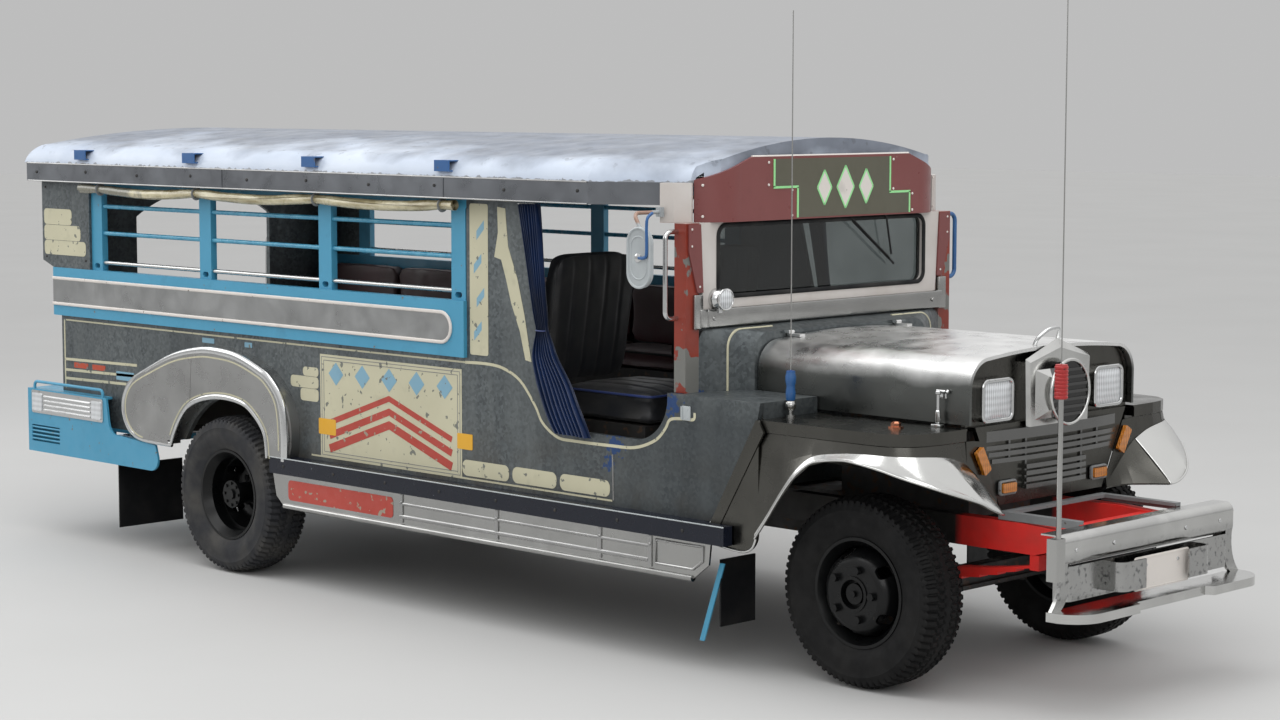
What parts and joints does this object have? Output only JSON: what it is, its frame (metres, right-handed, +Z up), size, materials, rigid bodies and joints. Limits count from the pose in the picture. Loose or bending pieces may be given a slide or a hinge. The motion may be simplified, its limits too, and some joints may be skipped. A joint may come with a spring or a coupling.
{
  "type": "jeepney",
  "caption": "Long open-sided passenger vehicle with a crowned roof, barred side windows, steel hood and fenders, deep-dished rear wheels and steered front wheels.",
  "frame": {"origin": "middle of the footprint on the road", "axes": "+X forward along the vehicle, +Y to its left, +Z up"},
  "size_m": [6.655, 2.11, 2.9],
  "materials": {
    "chassis_red": "worn gloss",
    "engine": "rough",
    "black_steel": "satin",
    "exhaust_steel": "rusty",
    "galvanised": "spangled zinc",
    "blue_paint": "satin",
    "socket_blue": "satin",
    "floor_plate": "worn",
    "roof_paint": "weathered satin",
    "stainless": "polished with scratches",
    "white_paint": "gloss",
    "glass": "tinted",
    "maroon_paint": "gloss",
    "chrome": "polished",
    "grey_paint": "satin",
    "amber": "gloss",
    "navy_paint": "gloss",
    "black_rubber": "matte",
    "seat_vinyl": "satin",
    "black_plastic": "satin",
    "grey_plastic": "satin",
    "tarp_plastic": "glossy film",
    "curtain_satin": "satin",
    "wheel_black": "semi gloss",
    "tyre": "matte"
  },
  "bodies": {
    "body": {"chassis_rails": "chassis_red", "cross_members": "chassis_red", "engine_block": "engine", "front_axle": "black_steel", "leaf_springs": "black_steel", "rear_axle": "black_steel", "drive_shaft": "black_steel", "fuel_tank": "black_steel", "exhaust": "exhaust_steel", "side_panels": "galvanised", "belt_rails": "blue_paint", "window_frames": "blue_paint", "window_bars": "blue_paint", "rear_wall": "galvanised", "floor": "floor_plate", "roof": "roof_paint", "eave_band": "stainless", "roof_sockets": "socket_blue", "cowl": "galvanised", "windshield_frame": "white_paint", "windshield_glass": "glass", "visor": "maroon_paint", "nose_shell": "stainless", "grille": "chrome", "front_lamps": "chrome", "bumper_tray": "grey_paint", "amber_lamps": "amber", "nose_block": "chrome", "front_fenders": "stainless", "front_bumper": "chrome", "running_boards": "navy_paint", "side_skirts": "stainless", "rear_fenders": "stainless", "rear_bumper": "blue_paint", "mud_flaps": "black_rubber", "side_benches": "seat_vinyl", "front_seats": "seat_vinyl", "seat_frames": "maroon_paint", "steering_column": "black_steel", "mirrors": "grey_plastic", "grab_handles": "chrome", "whip_antennas": "chrome", "rolled_tarps": "tarp_plastic", "curtains": "curtain_satin"},
    "hood": {"hood": "stainless"},
    "steering_wheel": {"steering_wheel": "black_plastic"},
    "knuckle_right": {"knuckle_right": "black_steel"},
    "knuckle_left": {"knuckle_left": "black_steel"},
    "tie_rod": {"tie_rod": "black_steel"},
    "front_wheel_right": {"front_wheel_right": "wheel_black", "front_tyre_right": "tyre"},
    "front_wheel_left": {"front_wheel_left": "wheel_black", "front_tyre_left": "tyre"},
    "rear_wheels_right": {"rear_wheels_right": "wheel_black", "rear_tyres_right": "tyre"},
    "rear_wheels_left": {"rear_wheels_left": "wheel_black", "rear_tyres_left": "tyre"}
  },
  "joints": [
    {"name": "hood_hinge", "type": "hinge", "parent": "body", "child": "hood", "pos_m": [1.632, 0, 1.364], "axis": [0, -1, 0], "range_deg": [0, 50]},
    {"name": "steer_right", "type": "hinge", "parent": "body", "child": "knuckle_right", "pos_m": [2.355, -0.53, 0.388], "axis": [0, 0, 1], "range_deg": [-28, 28]},
    {"name": "steer_left", "type": "hinge", "parent": "body", "child": "knuckle_left", "pos_m": [2.355, 0.53, 0.388], "axis": [0, 0, 1], "range_deg": [-28, 28]},
    {"name": "tie_rod_pivot", "type": "hinge", "parent": "knuckle_right", "child": "tie_rod", "pos_m": [2.205, -0.53, 0.272], "axis": [0, 0, 1], "range_deg": [-28, 28]},
    {"name": "steering_wheel_turn", "type": "hinge", "parent": "body", "child": "steering_wheel", "pos_m": [1.21, 0.43, 1.29], "axis": [-0.5736, 0, 0.8192], "range_deg": [-510, 510]},
    {"name": "front_spin_right", "type": "hinge", "parent": "knuckle_right", "child": "front_wheel_right", "pos_m": [2.355, -0.675, 0.388], "axis": [0, 1, 0], "continuous": true},
    {"name": "front_spin_left", "type": "hinge", "parent": "knuckle_left", "child": "front_wheel_left", "pos_m": [2.355, 0.675, 0.388], "axis": [0, 1, 0], "continuous": true},
    {"name": "rear_spin_right", "type": "hinge", "parent": "body", "child": "rear_wheels_right", "pos_m": [-1.536, -0.878, 0.388], "axis": [0, 1, 0], "continuous": true},
    {"name": "rear_spin_left", "type": "hinge", "parent": "body", "child": "rear_wheels_left", "pos_m": [-1.536, 0.878, 0.388], "axis": [0, 1, 0], "continuous": true}
  ],
  "couplings": [
    {"joint": "steer_left", "follows": "steer_right", "ratio": 1},
    {"joint": "tie_rod_pivot", "follows": "steer_right", "ratio": -1},
    {"joint": "steering_wheel_turn", "follows": "steer_right", "ratio": 18}
  ]
}
